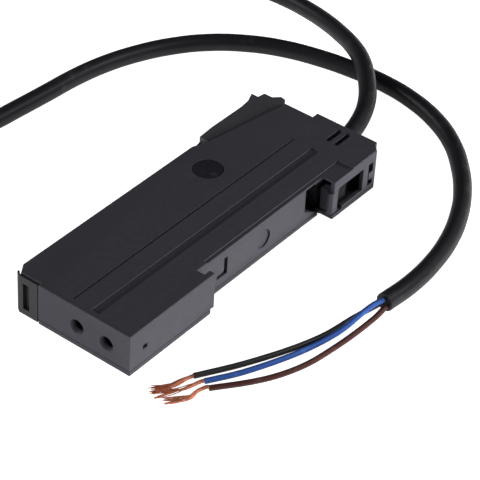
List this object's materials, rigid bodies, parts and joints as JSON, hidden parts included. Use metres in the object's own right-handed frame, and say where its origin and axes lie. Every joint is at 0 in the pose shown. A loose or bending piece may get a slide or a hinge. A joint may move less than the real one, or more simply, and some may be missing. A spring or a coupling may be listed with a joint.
{
  "type": "fibre optic sensor amplifier",
  "caption": "Slim rail mounted amplifier for optical fibres, with hinged key cover, fibre lock lever, display window and a cable.",
  "frame": {"origin": "middle of the amplifier body's side outline, on the surface that it lies on", "axes": "+X from the fibre end to the cable end, +Y from the rail feet to the display side, +Z through the thickness, up from the side that it lies on"},
  "size_m": [0.1168, 0.161, 0.0148],
  "materials": {
    "case_plastic": "fine moulded texture",
    "cover_plastic": "satin",
    "smoked_window": "smoked and polished",
    "inner_moulding": "plain moulding",
    "display_module": "plain moulding",
    "circuit_board": "solder resist",
    "output_lamp": "clear tinted",
    "source_lens": "clear tinted",
    "dark_component": "plain moulding",
    "key_plastic": "satin",
    "pin_steel": "drawn",
    "contact_brass": "plated",
    "cable_sheath": "soft extruded sheath",
    "core_black": "extruded",
    "core_blue": "extruded",
    "core_brown": "extruded",
    "bare_copper": "bare twisted copper"
  },
  "bodies": {
    "case": {"main_case": "case_plastic", "side_lid": "case_plastic", "side_window_upper": "smoked_window", "side_window_lower": "smoked_window", "display_window": "smoked_window", "display_module": "display_module", "display_board": "circuit_board", "output_lamp": "output_lamp", "cover_hinge_pin": "pin_steel", "lever_pin": "pin_steel", "optics_holder": "inner_moulding", "light_source": "source_lens", "light_sensor": "dark_component", "main_board": "circuit_board", "processor_chip": "dark_component", "supply_capacitor": "pin_steel", "key_board": "circuit_board", "jog_switch": "dark_component", "key_switch": "dark_component", "contact_block": "inner_moulding", "contact_blade_1": "contact_brass", "contact_blade_2": "contact_brass", "cable_gland": "dark_component", "cable_exit_run": "cable_sheath", "cable_coil": "cable_sheath", "cable_return_run": "cable_sheath", "core_black": "core_black", "core_blue": "core_blue", "core_brown": "core_brown", "strands_black": "bare_copper", "strands_blue": "bare_copper", "strands_brown": "bare_copper"},
    "cover": {"protective_cover": "cover_plastic"},
    "lever": {"fibre_lock_lever": "case_plastic"},
    "clamp": {"fibre_clamp": "inner_moulding"},
    "jog_press_body": {"jog_stem": "dark_component"},
    "jog_rocker": {"jog_cap": "key_plastic"},
    "round_key": {"mode_key": "key_plastic"},
    "hook": {"rail_hook": "case_plastic"}
  },
  "joints": [
    {"name": "cover_hinge", "type": "hinge", "parent": "case", "child": "cover", "pos_m": [0.0136, 0.01105, 0.0045], "axis": [0, 0, 1], "range_deg": [0, 95]},
    {"name": "lever_hinge", "type": "hinge", "parent": "case", "child": "lever", "pos_m": [-0.0321, 0.01005, 0.0045], "axis": [0, 0, -1], "range_deg": [0, 85]},
    {"name": "clamp_slide", "type": "slide", "parent": "case", "child": "clamp", "axis": [0, 1, 0], "range_m": [0, 0.0004]},
    {"name": "jog_press", "type": "slide", "parent": "case", "child": "jog_press_body", "axis": [-0.1668, -0.986, 0], "range_m": [0, 0.00025], "stiffness_N_per_m": 400},
    {"name": "jog_tilt", "type": "hinge", "parent": "jog_press_body", "child": "jog_rocker", "pos_m": [0.02285, 0.00906, 0.0045], "axis": [0, 0, 1], "range_deg": [-6, 6], "stiffness_Nm_per_rad": 0.003},
    {"name": "mode_press", "type": "slide", "parent": "case", "child": "round_key", "axis": [-0.1668, -0.986, 0], "range_m": [0, 0.0003], "stiffness_N_per_m": 400},
    {"name": "hook_slide", "type": "slide", "parent": "case", "child": "hook", "axis": [1, 0, 0], "range_m": [0, 0.0014], "stiffness_N_per_m": 500}
  ],
  "couplings": [
    {"joint": "lever_hinge", "follows": "clamp_slide", "rad_per_m": 3708.8}
  ]
}
